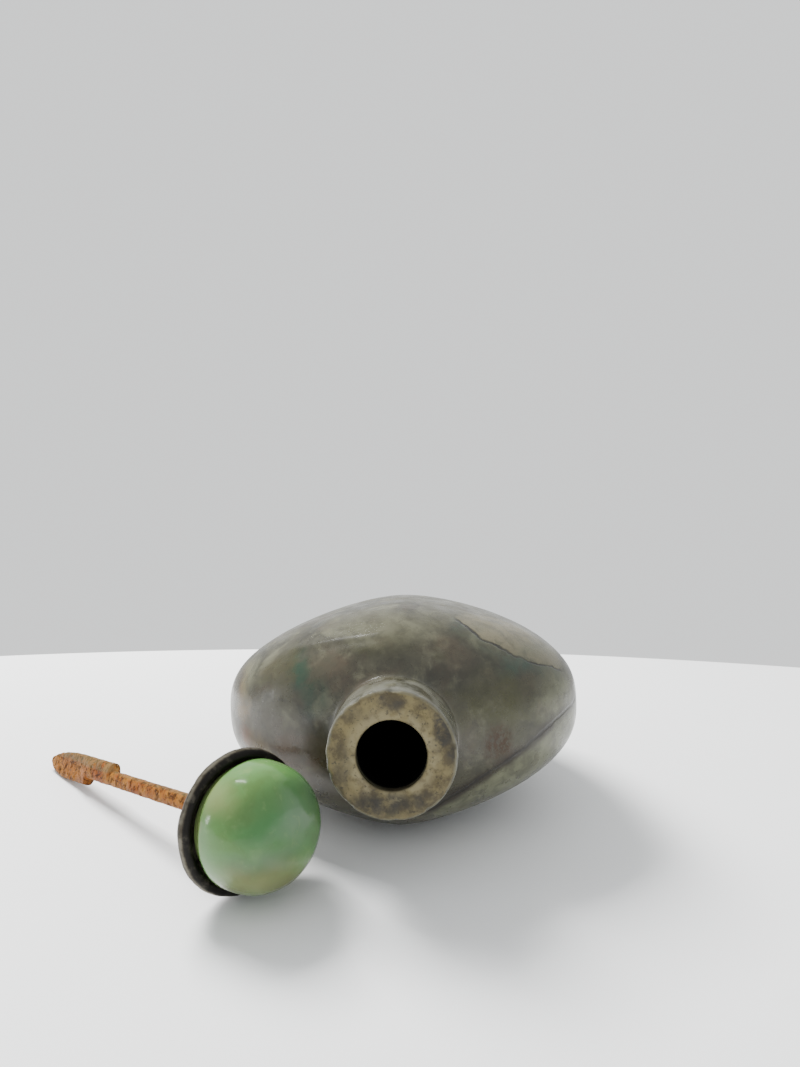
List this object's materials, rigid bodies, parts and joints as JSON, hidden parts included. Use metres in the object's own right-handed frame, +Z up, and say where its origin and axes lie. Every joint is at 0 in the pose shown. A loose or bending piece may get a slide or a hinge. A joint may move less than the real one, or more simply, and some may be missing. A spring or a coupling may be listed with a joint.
{
  "type": "snuff bottle",
  "caption": "Carved grey-olive jade snuff bottle lying on a broad face, its stopper beside it: green jadeite cabochon in a dark metal collar with a long brown spoon.",
  "frame": {"origin": "on the resting surface, under the middle of the bottle and the stopper together", "axes": "+Z up; +X to the right when the mouth is seen from the front; the mouth faces -Y and the bottle's axis runs back along +Y, turned 3 degrees and raised 3 degrees at the neck"},
  "size_m": [0.082, 0.066, 0.0298],
  "materials": {
    "bottle": "polished, mottled grey and olive, with dark veins and stains",
    "stopper_collar": "dark oxidised metal, worn",
    "stopper_cabochon": "polished apple green, paler at the rim",
    "stopper_spoon": "matte orange brown, dark speckles"
  },
  "bodies": {
    "root": {"bottle": "bottle", "stopper_collar": "stopper_collar", "stopper_cabochon": "stopper_cabochon", "stopper_spoon": "stopper_spoon"}
  },
  "joints": []
}
